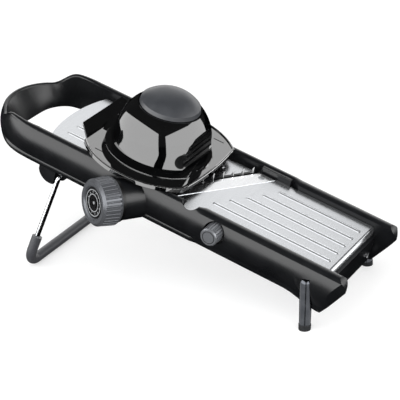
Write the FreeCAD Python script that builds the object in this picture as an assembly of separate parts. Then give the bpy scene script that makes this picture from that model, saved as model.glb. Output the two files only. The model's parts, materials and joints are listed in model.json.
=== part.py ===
import FreeCAD, Part
import math
import os

# Mandoline slicer with a slanted blade, a lowering runway plate, a julienne comb,
# a folding rear stand and a domed hand guard that slides on the side rails.
# Working frame: X runs down the runway towards the front, Y to the far side, Z off the runway.
# The guard's axis is the working origin, and the front plate's top is Z = 0.

# Stance: lean on the stand, and the middle of the whole slicer once it leans
STAND_TILT = 15.9
CENTRE_X = 29.47
CENTRE_Y = -12.41

# Side rails
RAIL_REAR_X = -103.6
FAR_JOG_X = (125.0, 133.0)
NEAR_JOG_X = (81.0, 87.0)
RAIL_FLARE_X = (185.0, 222.0)
RAIL_FRONT_X = 246.0
NOSE_X = 243.4
RAIL_FLARE_DROP = 7.0
WALL_REAR_Y = 58.2
WALL_FRONT_Y = 54.2
CREST_Z = 6.6
LEDGE_TOP_Z = -1.2
LEDGE_Z = (-4.4, LEDGE_TOP_Z)
LEDGE_INNER_Y = 49.5
STRIP_START_X = (54.0, 88.0)
STRIP_END_X = 215.0

# Handle loop: round outside, a squarer hand hole inside
LOOP_RADIUS = 71.2
LOOP_HOLE_LENGTH = 44.4
LOOP_HOLE_SQUARENESS = 3.5
LOOP_TOP_Z = -7.0
LOOP_BOTTOM_Z = -33.0
LOOP_STATION_ANGLES = (90, 82, 74, 66, 58, 50, 42, 34, 24, 12, 0)

# Slanted blade line: local X runs square to the blade, local Y along it
BLADE_ANGLE = 28.95
BLADE_EDGE = 55.2
BLADE_BACK = 70.3
BLADE_TOP_Z = 0.4
BLADE_THICKNESS = 1.2
BLADE_HALF_Y = 50.5
BLADE_SCREW_LOCAL_X = 63.5
BLADE_SCREW_Y = 43.0

# Steel plates
PLATE_THICKNESS = 1.2
PLATE_HALF_Y = 53.5
PLATE_FOLD_X = 220.3
PLATE_LIP_Z = -9.0
PLATE_EAR = (71.7, -56.5)
PLATE_EAR_RADIUS = 8.0
RIB_PITCH = 17.1
RIB_COUNT = 5
RIB_RADIUS = 4.0
RIB_HEIGHT = 1.1
FRONT_RIB_LOCAL_START = 91.5
FRONT_RIB_END_X = 210.8
RUNWAY_TOP_Z = -2.0
RUNWAY_HALF_Y = 53.0
RUNWAY_EDGE = 47.6
RUNWAY_REAR_X = -103.0
RUNWAY_REAR_RADIUS = 182.0
RUNWAY_RIB_START_X = -84.0
RUNWAY_RIB_LOCAL_END = 33.0

# Thickness drive, whose shaft lies parallel to the blade
SHAFT_LOCAL_X = 40.7
SHAFT_Z = -16.5
SHAFT_RADIUS = 3.0
BUSH_RADIUS = 5.0
NEAR_BUSH_Y = -75.0
NEAR_BUSH_LENGTH = 23.0
FAR_BUSH_Y = 55.0
FAR_BUSH_LENGTH = 9.5
KNOB_FACE_T = -95.2
KNOB_LENGTH = 21.0
KNOB_RADIUS = 24.4
KNOB_FLUTES = 36
KNOB_FLUTE_DEPTH = 1.2
KNOB_CHAMFER = 2.6
KNOB_TAPER = 1.2
KNOB_REAR_RIM = 2.0
KNOB_RECESS = 6.0
KNOB_DISC_RADIUS = 15.5
BOSS_RADIUS = 21.0
GASKET_LENGTH = 3.4
CAM_Y = 49.6
CAM_WIDTH = 3.4
CAM_REST_RADIUS = 10.0
CAM_LIFT_PER_TURN = 10.8
CAM_UP_ANGLE = 66.7
CAM_DOWN_ANGLE = 193.3
CAM_CLEARANCE = 0.35

# Julienne comb and its selector
COMB_LOCAL_X = (49.0, 51.6)
COMB_TIP_Z = 5.5
COMB_PITCH = 10.5
COMB_COUNT = 10
COMB_TOOTH_THICKNESS = 0.8
COMB_TOOTH_FOOT_Z = -1.8
COMB_STRIP_Z = (-2.4, -0.6)
COMB_ARM_Y = (-41.5, -38.5)
SELECTOR_X = 105.0
SELECTOR_Z = -7.0
SELECTOR_FACE_Y = -81.0
SELECTOR_BACK_Y = -62.3
SELECTOR_RADIUS = 9.6
SELECTOR_FLUTES = 20
SELECTOR_FLUTE_DEPTH = 0.9
SELECTOR_CHAMFER = 1.2
SELECTOR_TAPER = 0.6
CRANK_RADIUS = 3.0
CRANK_REST_ANGLE = 60.0
CRANK_PIN_RADIUS = 1.2

# Rear stand
STAND_PIVOT = (-72.0, -36.6)
STAND_TOP_Y = 62.0
STAND_FOOT = (-74.9, -134.0)
STAND_FOOT_Y = 87.0
STAND_WIRE_RADIUS = 2.5
STAND_SLEEVE_RADIUS = 5.2
STAND_BEND_RADIUS = 14.0
STAND_SLEEVE_LENGTH = 33.0

# Front legs
LEG_TOP = (206.0, 67.0, -12.0)
LEG_FOOT = (219.6, 73.3, -54.5)
LEG_TOP_RADIUS = 6.2
LEG_FOOT_RADIUS = 5.6
LEG_TIP_LENGTH = 4.0

# Hand guard
GUARD_RADIUS = 78.0
GUARD_BASE_Z = (7.2, 10.2)
GUARD_FRONT_X = (57.0, 60.6)
GUARD_TAIL_X = (-58.0, -71.0)
GUARD_TAIL_Z = 18.7
GUARD_TAIL_HALF_Y = (47.0, 37.0)
RIM_BEAD = (2.4, 0.5, 1.3)
SHOULDER_CENTRE = ((6.5, -19.0), (4.0, -10.5))
SHOULDER_RADIUS = (55.2, 55.2)
SHOULDER_CORNER_ANGLE = (-31.9, -29.9)
SHOULDER_STEP_Z = 13.4
SHOULDER_TOP_Z = 15.0
SHOULDER_EDGE_RADIUS = 0.9
REAR_REST_RADIUS = 28.6
REAR_REST_TOP_Z = 17.5
DOME_RADIUS = 49.0
DOME_CENTRE_Z = 20.7
DOME_SKIRT_RADIUS = 53.0
DOME_WAIST_ANGLE = 7.5
DOME_WALL = 3.0
NECK_RADIUS = 24.5
NECK_TOP_Z = 57.0
NECK_DEPTH = 12.0
GRIP_RADIUS = 70.0
GRIP_CENTRE = (109.4, 31.0)
GRIP_HALF_HEIGHT = 19.0
GRIP_HALF_Y = 45.0
GRIP_RIDGES = 6
CLIP_SLOT = (12.0, 1.4, 1.0)
CLIP_SLOT_PLACE = (37.0, 56.0)
GUIDE_Y = (51.4, 53.3)
GUIDE_X = (-48.0, 46.0)
GUIDE_BOTTOM_Z = 0.9

# Plunger
CAP_RADIUS = 31.0
CAP_LIP_Z = 57.4
CAP_TOP_Z = 73.5
CAP_LIP = 4.0
CAP_LIP_TAPER = 1.1
SLEEVE_RADIUS = 24.2
SLEEVE_WALL = 2.4
PRESSER_RADIUS = 36.0
PRESSER_Z = (13.0, 16.0)
PRONG_TIP_Z = 7.4
PRONG_RADIUS = 1.1

V = FreeCAD.Vector
ORIGIN = V(0, 0, 0)
X_AXIS = V(1, 0, 0)
Y_AXIS = V(0, 1, 0)
Z_AXIS = V(0, 0, 1)
TILT = math.radians(STAND_TILT)
STAND_HEIGHT = STAND_SLEEVE_RADIUS + STAND_FOOT[0] * math.sin(TILT) - STAND_FOOT[1] * math.cos(TILT)
SIN_BLADE = math.sin(math.radians(BLADE_ANGLE))
COS_BLADE = math.cos(math.radians(BLADE_ANGLE))


def box(low, high):
    """A block between two corners."""
    return Part.makeBox(high[0] - low[0], high[1] - low[1], high[2] - low[2], V(*low))


def line(start, end):
    return Part.makeLine(V(*start), V(*end))


def arc(start, middle, end):
    return Part.Arc(V(*start), V(*middle), V(*end)).toShape()


def polygon(points):
    """Closed flat wire through corner points."""
    corners = [V(*point) for point in points]
    return Part.makePolygon(corners + [corners[0]])


def prism(wire, direction):
    """Solid swept from a flat closed wire along a vector."""
    return Part.Face(wire).extrude(V(*direction))


def fused(shapes):
    """One clean solid from touching shapes."""
    first, *rest = shapes
    return first.fuse(rest).removeSplitter()


def mirrored(shape):
    """The same piece on the other side of the runway."""
    return shape.mirror(ORIGIN, Y_AXIS)


def along_blade(shape):
    """Turns a shape from the blade's local axes into the working frame."""
    turned = shape.copy()
    turned.rotate(ORIGIN, Z_AXIS, -BLADE_ANGLE)
    return turned


def blade_line_x(local_x, y):
    """X of the line parallel to the blade at local_x, at a given Y."""
    return local_x / COS_BLADE + y * SIN_BLADE / COS_BLADE


def blade_line_t(local_x, y):
    """Distance along the blade of the point of that line at a given Y."""
    return (y + local_x * SIN_BLADE) / COS_BLADE


def stood(shape):
    """Leans the slicer on its stand and moves it onto the row's origin."""
    placed = shape.copy()
    placed.rotate(ORIGIN, Y_AXIS, STAND_TILT)
    placed.translate(V(-CENTRE_X, -CENTRE_Y, STAND_HEIGHT))
    return placed


def smooth_step(value):
    return value * value * (3.0 - 2.0 * value)


# Rail section, as (outward, height) points: crown, convex outer face, rounded keel, flat inner wall
def rail_points(wall, drop):
    crest = wall + 4.2
    return [
        (wall, CREST_Z - 2.0),
        (crest, CREST_Z),
        (66.8, 3.6),
        (70.8, -9.5),
        (67.2, -25.0 - drop),
        (62.2, -32.0 - drop),
        (wall, -29.0 - drop),
    ]


def section_wire(points):
    """Three arcs and a straight inner wall through seven points in space."""
    edges = [
        arc(points[0], points[1], points[2]),
        arc(points[2], points[3], points[4]),
        arc(points[4], points[5], points[6]),
        line(points[6], points[0]),
    ]
    return Part.Wire(edges)


def rail_section(x, wall, drop):
    return section_wire([(x, y, z) for y, z in rail_points(wall, drop)])


def rail_side_outline():
    """Side view of a rail: rounded shoe-shaped nose at the front."""
    far_down = -70.0
    top = CREST_Z + 1.0
    edges = [
        line((RAIL_REAR_X, 0, far_down), (RAIL_REAR_X, 0, top)),
        line((RAIL_REAR_X, 0, top), (228.0, 0, top)),
        arc((228.0, 0, top), (239.6, 0, 3.0), (NOSE_X, 0, -7.0)),
        line((NOSE_X, 0, -7.0), (227.6, 0, -35.0)),
        arc((227.6, 0, -35.0), (224.4, 0, -38.2), (219.6, 0, -39.6)),
        line((219.6, 0, -39.6), (219.6, 0, far_down)),
        line((219.6, 0, far_down), (RAIL_REAR_X, 0, far_down)),
    ]
    return Part.Wire(edges)


def rail_plan_outline():
    """Rail from above: both sides curve in towards the nose."""
    outer = 80.0
    inner = 40.0
    tip_x = NOSE_X
    edges = [
        line((RAIL_REAR_X, inner, -60), (RAIL_REAR_X, outer, -60)),
        line((RAIL_REAR_X, outer, -60), (205.0, outer, -60)),
        line((205.0, outer, -60), (216.0, 71.2, -60)),
        arc((216.0, 71.2, -60), (235.0, 69.0, -60), (tip_x, 61.5, -60)),
        arc((tip_x, 61.5, -60), (tip_x - 1.2, 57.2, -60), (tip_x - 4.6, WALL_FRONT_Y - 0.2, -60)),
        line((tip_x - 4.6, WALL_FRONT_Y - 0.2, -60), (tip_x - 4.6, inner, -60)),
        line((tip_x - 4.6, inner, -60), (RAIL_REAR_X, inner, -60)),
    ]
    return Part.Wire(edges)


def leg_axis():
    return V(*LEG_FOOT) - V(*LEG_TOP)


def leg_solid():
    """Splayed leg with a domed top, slimmer towards its foot."""
    axis = leg_axis()
    shank = Part.makeCone(LEG_TOP_RADIUS, LEG_FOOT_RADIUS, axis.Length, V(*LEG_TOP), axis)
    dome = Part.makeSphere(LEG_TOP_RADIUS, V(*LEG_TOP))
    return fused([shank, dome])


def leg_recess():
    """Shallow scoop in the rail's face beside the leg."""
    outward = 13.4
    radius = 13.0
    start = V(LEG_TOP[0] - 4.0, LEG_TOP[1] + outward, LEG_TOP[2] + 6.0)
    return Part.makeCylinder(radius, 60.0, start, leg_axis())


def rail(jog_x):
    """Far side rail with its nose and leg socket; its inner wall steps inwards at jog_x."""
    stations = [(RAIL_REAR_X, WALL_REAR_Y, 0.0), (jog_x[0], WALL_REAR_Y, 0.0)]
    stations.append((jog_x[1], WALL_FRONT_Y, 0.0))
    flare_steps = 5
    for step in range(flare_steps + 1):
        share = step / flare_steps
        x = RAIL_FLARE_X[0] + share * (RAIL_FLARE_X[1] - RAIL_FLARE_X[0])
        stations.append((x, WALL_FRONT_Y, RAIL_FLARE_DROP * smooth_step(share)))
    stations.append((RAIL_FRONT_X, WALL_FRONT_Y, RAIL_FLARE_DROP))
    bar = Part.makeLoft([rail_section(*station) for station in stations], True, True)
    side_window = prism(rail_side_outline(), (0, 100, 0))
    plan_window = prism(rail_plan_outline(), (0, 0, 100))
    bar = bar.common(side_window).common(plan_window)
    return bar.cut([leg_recess(), leg_solid()])


def plate_strip(start_x, jog_x):
    """Far support strip in the angle of the rail, under the front plate's edge."""
    low, high = LEDGE_Z
    wide = box((start_x, LEDGE_INNER_Y, low), (jog_x[0], WALL_REAR_Y, high))
    narrow = box((jog_x[0], LEDGE_INNER_Y, low), (STRIP_END_X, WALL_FRONT_Y, high))
    return fused([wide, narrow])


def plate_strips():
    """Support strips of the front plate, the near one notched for the selector's shaft."""
    notch = Part.makeCylinder(2.6, 40.0, V(SELECTOR_X, -75.0, SELECTOR_Z), Y_AXIS)
    near_start, far_start = STRIP_START_X
    far = plate_strip(far_start, FAR_JOG_X)
    near = mirrored(plate_strip(near_start, NEAR_JOG_X)).cut(notch)
    return Part.makeCompound([far, near])


def knob_axis_cylinder(radius, start_t, end_t):
    """Cylinder about the thickness shaft's axis, in the working frame."""
    start = V(SHAFT_LOCAL_X, start_t, SHAFT_Z)
    return along_blade(Part.makeCylinder(radius, end_t - start_t, start, Y_AXIS))


def bush_hole(y_sign):
    """Hole in a rail for the shaft's bush."""
    y, length = (NEAR_BUSH_Y, NEAR_BUSH_LENGTH) if y_sign < 0 else (FAR_BUSH_Y, FAR_BUSH_LENGTH)
    low = blade_line_t(SHAFT_LOCAL_X, y)
    return knob_axis_cylinder(BUSH_RADIUS, low, low + length)


def selector_pocket():
    """Round pocket that the selector knob sinks into."""
    start = V(SELECTOR_X, -90.0, SELECTOR_Z)
    return Part.makeCylinder(SELECTOR_RADIUS + 1.6, 90.0 + SELECTOR_BACK_Y + 0.4, start, Y_AXIS)


def ear_scoop():
    """Scoop in the near rail's crest that leaves the front plate's ear in view, open outwards."""
    rim = Part.makeCircle(PLATE_EAR_RADIUS + 0.6, V(*PLATE_EAR, LEDGE_TOP_Z))
    return prism(Part.Wire([rim]), (0, -28.0, 40.0))


def near_rail():
    shape = mirrored(rail(NEAR_JOG_X))
    shaft_hole = Part.makeCylinder(2.6, 40.0, V(SELECTOR_X, -75.0, SELECTOR_Z), Y_AXIS)
    return shape.cut([bush_hole(-1), selector_pocket(), shaft_hole, ear_scoop()])


def far_rail():
    return rail(FAR_JOG_X).cut(bush_hole(1))


def loop_hole_reach(angle):
    """Reach of the hand hole's edge from the loop's centre in a direction off the runway's axis."""
    power = LOOP_HOLE_SQUARENESS
    along = abs(math.cos(angle)) / LOOP_HOLE_LENGTH
    across = abs(math.sin(angle)) / WALL_REAR_Y
    return (along ** power + across ** power) ** (-1.0 / power)


def grip_points(angle):
    """Section of the handle at its back, as (reach, height): high outer rim, face sloping to the hole."""
    rim = LOOP_RADIUS
    hole = loop_hole_reach(angle)
    return [
        (rim - 5.2, LOOP_TOP_Z - 1.6),
        (rim - 2.6, LOOP_TOP_Z),
        (rim - 0.8, LOOP_TOP_Z - 2.6),
        (rim, LOOP_TOP_Z - 11.0),
        (rim - 1.8, LOOP_BOTTOM_Z + 6.0),
        ((hole + rim) / 2.0 - 1.0, LOOP_BOTTOM_Z),
        (hole, LOOP_BOTTOM_Z + 4.0),
    ]


def loop_section(degrees):
    """Section of the loop: the rail's own outline turns into the grip, first in plan, then in height."""
    angle = math.radians(degrees)
    turn = 90.0 - abs(degrees)
    plan = smooth_step(min(turn / 36.0, 1.0))
    fall = smooth_step(min(max((turn - 28.0) / 22.0, 0.0), 1.0))
    corners = []
    pairs = list(zip(rail_points(WALL_REAR_Y, 0.0), grip_points(angle)))
    for index, ((rail_reach, rail_z), (grip_reach, grip_z)) in enumerate(pairs):
        blend = 1.0 if index == len(pairs) - 1 else plan
        reach = rail_reach + blend * (grip_reach - rail_reach)
        height = rail_z + fall * (grip_z - rail_z)
        corners.append((RAIL_REAR_X - reach * math.cos(angle), reach * math.sin(angle), height))
    return section_wire(corners)


def handle_loop():
    """Open round handle that joins the rails at the rear."""
    far_side = [loop_section(degrees) for degrees in LOOP_STATION_ANGLES]
    near_side = [loop_section(-degrees) for degrees in reversed(LOOP_STATION_ANGLES[:-1])]
    return Part.makeLoft(far_side + near_side, True, False)


def front_crossbar():
    """Front panel under the plate's folded lip, with a shelf that carries the plate."""
    profile = [
        (200.0, LEDGE_TOP_Z), (217.6, LEDGE_TOP_Z), (218.6, -2.2), (218.6, -9.6), (223.6, -9.6), (223.6, -38.4),
        (220.4, -38.4), (220.4, -12.8), (215.6, -12.8), (215.6, -4.4), (200.0, -4.4),
    ]
    half = LEDGE_INNER_Y
    shelf = prism(polygon([(x, -half, z) for x, z in profile]), (0, 2 * half, 0))
    wide = WALL_FRONT_Y
    panel = box((215.6, -wide, -38.4), (223.6, wide, -9.6))
    hollow = box((210.0, -wide - 1, -40.0), (220.4, wide + 1, -12.8))
    return fused([shelf, panel.cut(hollow)])


def crossbar_screws():
    """Two pan-head screws in the front panel."""
    heads = []
    for y in (-45.0, 45.0):
        head = Part.makeCylinder(3.0, 1.6, V(223.6, y, -27.0), X_AXIS)
        slot = box((224.5, y - 3.5, -27.4), (226.0, y + 3.5, -26.6))
        heads.append(head.cut(slot))
    return Part.makeCompound(heads)


def rear_crossbar():
    """Channel between the rails under the runway, with two post sockets."""
    outer = box((-97.0, -WALL_REAR_Y, -25.0), (-77.0, WALL_REAR_Y, -15.0))
    channel = box((-94.4, -WALL_REAR_Y - 1, -26.0), (-79.6, WALL_REAR_Y + 1, -17.6))
    bar = outer.cut(channel)
    sockets = [Part.makeCylinder(6.0, 10.0, V(-87.0, y, -25.0)) for y in (-30.0, 30.0)]
    bores = [Part.makeCylinder(3.06, 30.0, V(-87.0, y, -40.0)) for y in (-30.0, 30.0)]
    return fused([bar] + sockets).cut(bores)


def runway_outline():
    """Runway plate seen from above: arched rear edge, slanted front edge."""
    half = RUNWAY_HALF_Y
    sagitta = RUNWAY_REAR_RADIUS - math.sqrt(RUNWAY_REAR_RADIUS ** 2 - half ** 2)
    corner_x = RUNWAY_REAR_X + sagitta
    near_front = (blade_line_x(RUNWAY_EDGE, -half), -half, RUNWAY_TOP_Z)
    far_front = (blade_line_x(RUNWAY_EDGE, half), half, RUNWAY_TOP_Z)
    near_rear = (corner_x, -half, RUNWAY_TOP_Z)
    far_rear = (corner_x, half, RUNWAY_TOP_Z)
    edges = [
        arc(far_rear, (RUNWAY_REAR_X, 0, RUNWAY_TOP_Z), near_rear),
        line(near_rear, near_front),
        line(near_front, far_front),
        line(far_front, far_rear),
    ]
    return Part.Wire(edges)


def bead(start_x, end_x, y, top_z, radius):
    """Round-ended bar along X, sunk so that only its crown stands proud of the sheet."""
    z = top_z + RIB_HEIGHT - RIB_RADIUS
    bar = Part.makeCylinder(radius, end_x - start_x, V(start_x, y, z), X_AXIS)
    ends = [Part.makeSphere(radius, V(x, y, z)) for x in (start_x, end_x)]
    return fused([bar] + ends)


def embossed(sheet, top_z, spans):
    """Presses long ribs into a sheet: a crown above and a hollow below."""
    floor = box((-200, -60, top_z - PLATE_THICKNESS), (300, 60, top_z + 5))
    crowns = [bead(x0, x1, y, top_z, RIB_RADIUS).common(floor) for x0, x1, y in spans]
    hollows = [bead(x0, x1, y, top_z, RIB_RADIUS - PLATE_THICKNESS + 0.1) for x0, x1, y in spans]
    return fused([sheet] + crowns).cut(hollows)


def rib_rows():
    first = -(RIB_COUNT - 1) / 2.0
    return [(first + row) * RIB_PITCH for row in range(RIB_COUNT)]


def runway_plate():
    sheet = prism(runway_outline(), (0, 0, -PLATE_THICKNESS))
    spans = [(RUNWAY_RIB_START_X, blade_line_x(RUNWAY_RIB_LOCAL_END, y), y) for y in rib_rows()]
    return embossed(sheet, RUNWAY_TOP_Z, spans)


def runway_posts():
    """Two headed posts under the runway that slide in the rear crossbar."""
    under = RUNWAY_TOP_Z - PLATE_THICKNESS
    posts = []
    for y in (-30.0, 30.0):
        shank = Part.makeCylinder(3.0, 28.0, V(-87.0, y, under - 28.0))
        head = Part.makeCylinder(5.5, 1.6, V(-87.0, y, under - 1.6))
        posts.append(fused([shank, head]))
    return Part.makeCompound(posts)


def cam_top_z():
    return SHAFT_Z + CAM_REST_RADIUS


def lift_pads():
    """Two wear pads under the runway that ride on the cams."""
    under = RUNWAY_TOP_Z - PLATE_THICKNESS
    pads = []
    for y in (-CAM_Y, CAM_Y):
        x = blade_line_x(SHAFT_LOCAL_X, y)
        low = (x - 6.0, y - 3.0, cam_top_z() + CAM_CLEARANCE)
        pads.append(box(low, (x + 6.0, y + 3.0, under)))
    return Part.makeCompound(pads)


def front_plate():
    """Landing plate with ribs, a slanted rear edge, a rounded ear and a folded front lip."""
    half = PLATE_HALF_Y
    bend = 2.4
    flat_end = PLATE_FOLD_X - bend
    rear = [(blade_line_x(BLADE_BACK, y), y, 0.0) for y in (-half, half)]
    outline = polygon([rear[0], (flat_end, -half, 0), (flat_end, half, 0), rear[1]])
    sheet = prism(outline, (0, 0, -PLATE_THICKNESS))
    ear = Part.makeCylinder(PLATE_EAR_RADIUS, PLATE_THICKNESS, V(*PLATE_EAR, -PLATE_THICKNESS))
    inner = bend - PLATE_THICKNESS
    diagonal, inner_diagonal = [radius * math.sqrt(0.5) for radius in (bend, inner)]
    lip_edges = [
        arc((flat_end, -half, 0), (flat_end + diagonal, -half, diagonal - bend), (PLATE_FOLD_X, -half, -bend)),
        line((PLATE_FOLD_X, -half, -bend), (PLATE_FOLD_X, -half, PLATE_LIP_Z)),
        line((PLATE_FOLD_X, -half, PLATE_LIP_Z), (flat_end + inner, -half, PLATE_LIP_Z)),
        line((flat_end + inner, -half, PLATE_LIP_Z), (flat_end + inner, -half, -bend)),
        arc(
            (flat_end + inner, -half, -bend),
            (flat_end + inner_diagonal, -half, inner_diagonal - bend),
            (flat_end, -half, -PLATE_THICKNESS),
        ),
        line((flat_end, -half, -PLATE_THICKNESS), (flat_end, -half, 0)),
    ]
    lip = prism(Part.Wire(lip_edges), (0, 2 * half, 0))
    spans = [(blade_line_x(FRONT_RIB_LOCAL_START, y), FRONT_RIB_END_X, y) for y in rib_rows()]
    return embossed(fused([sheet, ear, lip]), 0.0, spans)


def blade_screw_places():
    return [(blade_line_x(BLADE_SCREW_LOCAL_X, y), y) for y in (-BLADE_SCREW_Y, BLADE_SCREW_Y)]


def slicing_blade():
    """Slanted steel blade with a ground edge that faces the runway."""
    bottom = BLADE_TOP_Z - BLADE_THICKNESS
    profile = [
        (BLADE_EDGE, -200.0, 0.1), (BLADE_EDGE + 3.4, -200.0, BLADE_TOP_Z), (BLADE_BACK, -200.0, BLADE_TOP_Z),
        (BLADE_BACK, -200.0, bottom), (BLADE_EDGE + 2.2, -200.0, bottom),
    ]
    strip = along_blade(prism(polygon(profile), (0, 400.0, 0)))
    strip = strip.common(box((-50, -BLADE_HALF_Y, -5), (200, BLADE_HALF_Y, 5)))
    holes = [Part.makeCylinder(2.2, 6.0, V(x, y, -3.0)) for x, y in blade_screw_places()]
    sinks = [Part.makeCone(2.2, 3.4, 1.2, V(x, y, BLADE_TOP_Z - 1.2)) for x, y in blade_screw_places()]
    return strip.cut(holes + sinks)


def blade_screws():
    """Countersunk screws that hold the blade on its bed."""
    screws = []
    for x, y in blade_screw_places():
        head = Part.makeCone(2.2, 3.4, 1.2, V(x, y, BLADE_TOP_Z - 1.2))
        shank = Part.makeCylinder(2.2, 6.0, V(x, y, BLADE_TOP_Z - 7.2))
        slot = box((x - 4.0, y - 0.4, BLADE_TOP_Z - 0.5), (x + 4.0, y + 0.4, BLADE_TOP_Z + 1.0))
        screws.append(fused([head, shank]).cut(slot))
    return Part.makeCompound(screws)


def blade_bed():
    """Slanted crossbar under the blade, undercut so that slices fall clear."""
    bottom = BLADE_TOP_Z - BLADE_THICKNESS
    deep = -8.8
    profile = [
        (BLADE_EDGE + 3.0, -200.0, bottom),
        (BLADE_BACK, -200.0, bottom),
        (BLADE_BACK, -200.0, -PLATE_THICKNESS),
        (78.0, -200.0, -PLATE_THICKNESS),
        (78.0, -200.0, deep),
        (66.0, -200.0, deep),
        (BLADE_EDGE + 3.0, -200.0, -2.6),
    ]
    bar = along_blade(prism(polygon(profile), (0, 400.0, 0)))
    bar = bar.common(box((-50, -LEDGE_INNER_Y, -20), (200, LEDGE_INNER_Y, 5)))
    ears = []
    for y_low, y_high in ((-WALL_REAR_Y, -LEDGE_INNER_Y), (LEDGE_INNER_Y, WALL_REAR_Y)):
        ear = along_blade(prism(polygon(profile), (0, 400.0, 0)))
        ears.append(ear.common(box((-50, y_low, deep), (200, y_high, -4.4))))
    holes = [Part.makeCylinder(2.2, 12.0, V(x, y, BLADE_TOP_Z - 7.2)) for x, y in blade_screw_places()]
    return fused([bar] + ears).cut(holes)


def plate_clamp():
    """Far clamp bar in the groove between plate and rail, with a rounded top edge."""
    bar = box((91.0, PLATE_HALF_Y + 0.3, LEDGE_TOP_Z), (124.0, 57.2, 6.6))
    top_edges = [edge for edge in bar.Edges if edge.CenterOfMass.z > 6.5]
    return bar.makeFillet(0.9, top_edges)


def knob_boss(rail_shape):
    """Round boss that carries the thickness knob out from the near rail."""
    start = KNOB_FACE_T + KNOB_LENGTH + GASKET_LENGTH + 0.6
    barrel = knob_axis_cylinder(BOSS_RADIUS, start, -38.0)
    outside = box((-60, -120, -60), (80, -61.0, 30))
    bore = knob_axis_cylinder(BUSH_RADIUS, start - 1.0, 0.0)
    return barrel.common(outside).cut([rail_shape, bore])


def knob_gasket():
    """Black ring between knob and boss."""
    start = KNOB_FACE_T + KNOB_LENGTH + 0.6
    ring = knob_axis_cylinder(BOSS_RADIUS + 1.2, start, start + GASKET_LENGTH)
    return ring.cut(knob_axis_cylinder(BUSH_RADIUS, start - 1.0, start + GASKET_LENGTH + 1.0))


def shaft_bushes():
    """Flanged bearing sleeves of the thickness shaft, one in each rail."""
    near_start = KNOB_FACE_T + KNOB_LENGTH + 0.6
    near_end = blade_line_t(SHAFT_LOCAL_X, NEAR_BUSH_Y) + NEAR_BUSH_LENGTH
    far_start = blade_line_t(SHAFT_LOCAL_X, FAR_BUSH_Y)
    bushes = []
    for start, end in ((near_start, near_end), (far_start, far_start + FAR_BUSH_LENGTH)):
        tube = knob_axis_cylinder(BUSH_RADIUS, start, end)
        bushes.append(tube.cut(knob_axis_cylinder(SHAFT_RADIUS + 0.06, start - 1.0, end + 1.0)))
    return Part.makeCompound(bushes)


def fluted_outline(radius, depth, count, z):
    """Round outline with evenly spaced hollow flutes."""
    pitch = 360.0 / count
    edges = []
    for index in range(count):
        turn = index * pitch
        middle = polar(radius, turn + 0.5 * pitch, z)
        edges.append(arc(polar(radius, turn, z), polar(radius, turn + 0.25 * pitch, z), middle))
        edges.append(arc(middle, polar(radius - depth, turn + 0.75 * pitch, z), polar(radius, turn + pitch, z)))
    return Part.Wire(edges)


def thickness_knob():
    """Knob with a fluted band between a chamfered face and a plain rear rim, and a recess for its disc."""
    face = KNOB_FACE_T
    back = face + KNOB_LENGTH
    band_start = face + KNOB_CHAMFER
    band_end = back - KNOB_REAR_RIM
    front_radius = KNOB_RADIUS - KNOB_TAPER
    nose = Part.makeCone(front_radius - KNOB_CHAMFER, front_radius, KNOB_CHAMFER, V(0, 0, face))
    outlines = [(front_radius, band_start), (KNOB_RADIUS, band_end)]
    band = Part.makeLoft([fluted_outline(r, KNOB_FLUTE_DEPTH, KNOB_FLUTES, z) for r, z in outlines], True, True)
    rim = Part.makeCone(KNOB_RADIUS, KNOB_RADIUS - 1.0, KNOB_REAR_RIM, V(0, 0, band_end))
    recess = Part.makeCylinder(KNOB_DISC_RADIUS, KNOB_RECESS, V(0, 0, face))
    mouth = Part.makeCone(KNOB_DISC_RADIUS + 1.6, KNOB_DISC_RADIUS, 1.6, V(0, 0, face))
    bore = Part.makeCylinder(SHAFT_RADIUS, KNOB_LENGTH, V(0, 0, face + KNOB_RECESS + 2.0))
    return on_knob_axis(fused([nose, band, rim]).cut([recess, mouth, bore]))


def on_knob_axis(shape):
    """Lays a shape that was made about Z onto the thickness shaft's axis."""
    laid = shape.copy()
    laid.rotate(ORIGIN, X_AXIS, -90)
    laid.translate(V(SHAFT_LOCAL_X, 0, SHAFT_Z))
    return along_blade(laid)


def knob_disc():
    """Face disc of the knob with plain raised rings."""
    base = Part.makeCylinder(KNOB_DISC_RADIUS - 0.3, KNOB_RECESS - 2.0, V(0, 0, KNOB_FACE_T + 2.0))
    rings = []
    for outer in (13.8, 9.4, 5.2):
        ring = Part.makeCylinder(outer, 0.8, V(0, 0, KNOB_FACE_T + 1.2))
        rings.append(ring.cut(Part.makeCylinder(outer - 1.6, 0.8, V(0, 0, KNOB_FACE_T + 1.2))))
    return on_knob_axis(fused([base] + rings))


def thickness_shaft():
    end_t = blade_line_t(SHAFT_LOCAL_X, FAR_BUSH_Y) + FAR_BUSH_LENGTH - 1.0
    return knob_axis_cylinder(SHAFT_RADIUS, KNOB_FACE_T + KNOB_RECESS + 2.0, end_t)


def cam_outline():
    """Spiral cam: its radius on top falls evenly as the knob turns the runway down."""
    rise = CAM_LIFT_PER_TURN / 360.0
    steps = 24
    points = []
    for step in range(steps + 1):
        turn = -CAM_DOWN_ANGLE + step * (CAM_UP_ANGLE + CAM_DOWN_ANGLE) / steps
        radius = CAM_REST_RADIUS + rise * turn
        angle = math.radians(90.0 + turn)
        points.append(V(radius * math.cos(angle), 0, radius * math.sin(angle)))
    curve = Part.BSplineCurve()
    curve.interpolate(points)
    return Part.Wire([curve.toShape(), Part.makeLine(points[-1], points[0])])


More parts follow.
